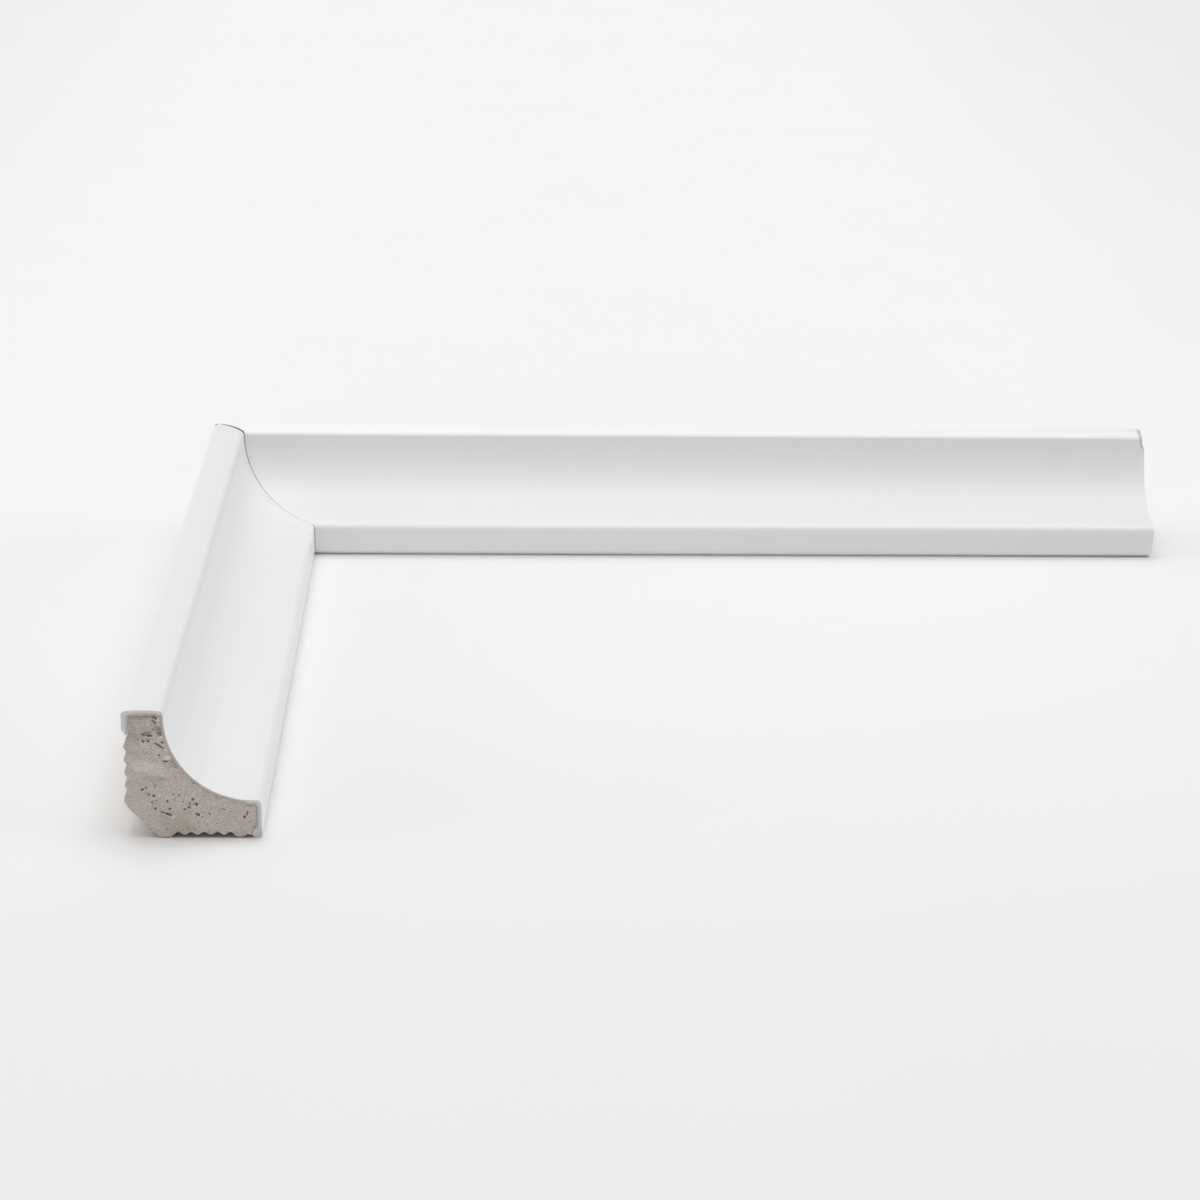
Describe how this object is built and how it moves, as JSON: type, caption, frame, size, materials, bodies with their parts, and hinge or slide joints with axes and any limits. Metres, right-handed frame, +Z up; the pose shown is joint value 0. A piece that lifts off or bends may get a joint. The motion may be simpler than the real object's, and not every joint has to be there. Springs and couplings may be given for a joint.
{
  "type": "skirting board corner",
  "caption": "Mitred inside corner of small cove skirting: wooden moulding, ribbed behind and below, with white film wrapped over the faces that show.",
  "frame": {"origin": "centre of the bounding box's underside, on the floor", "axes": "+X along the long length from the corner to its free end, +Y towards the wall behind the long length, +Z up"},
  "size_m": [0.1956, 0.165, 0.022],
  "materials": {
    "wood": "sawn, raw",
    "white_film": "satin white"
  },
  "bodies": {
    "root": {"long_length_core": "wood", "long_length_film": "white_film", "short_length_core": "wood", "short_length_film": "white_film"}
  },
  "joints": []
}
